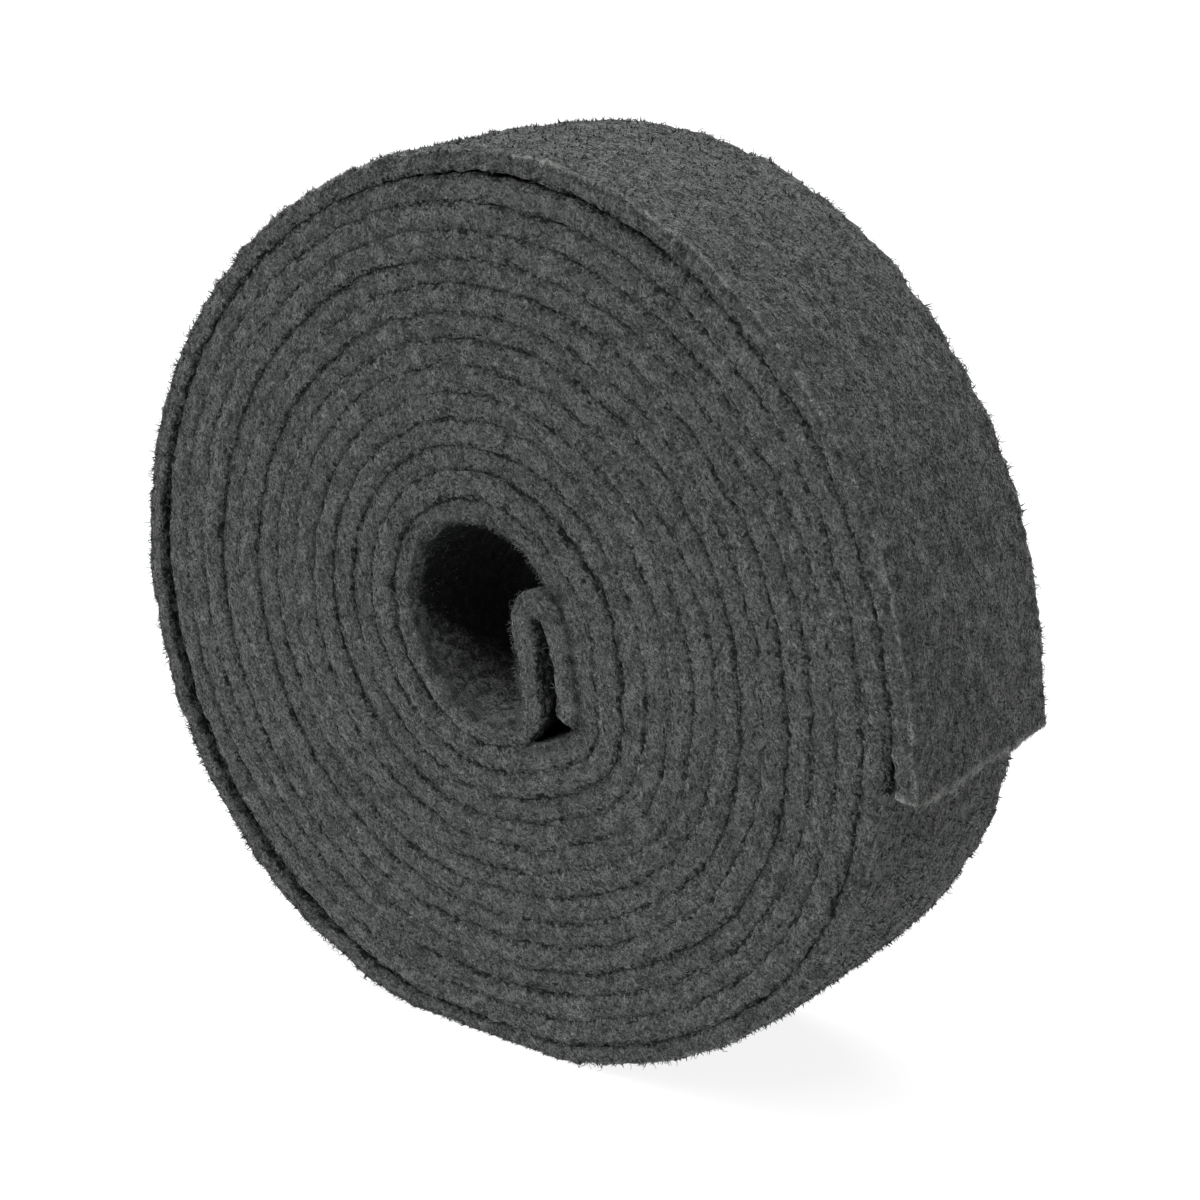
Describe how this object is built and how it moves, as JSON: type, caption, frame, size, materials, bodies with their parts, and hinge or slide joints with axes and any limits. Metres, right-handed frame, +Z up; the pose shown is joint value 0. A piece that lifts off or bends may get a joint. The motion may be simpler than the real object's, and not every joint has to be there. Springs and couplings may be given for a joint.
{
  "type": "abrasive scuff roll",
  "caption": "Roll of dark grey non-woven abrasive web, standing on its rim, with a folded inner end and a loose tail.",
  "frame": {"origin": "middle of the flat spot that the roll stands on, straight below the roll's axis", "axes": "+Y along the roll's axis from its front end to its back end, +Z up, +X towards the side of the loose tail"},
  "size_m": [0.3856, 0.1, 0.369],
  "materials": {
    "web": "coarse matt fibres"
  },
  "bodies": {
    "root": {"wound_strip": "web"}
  },
  "joints": []
}
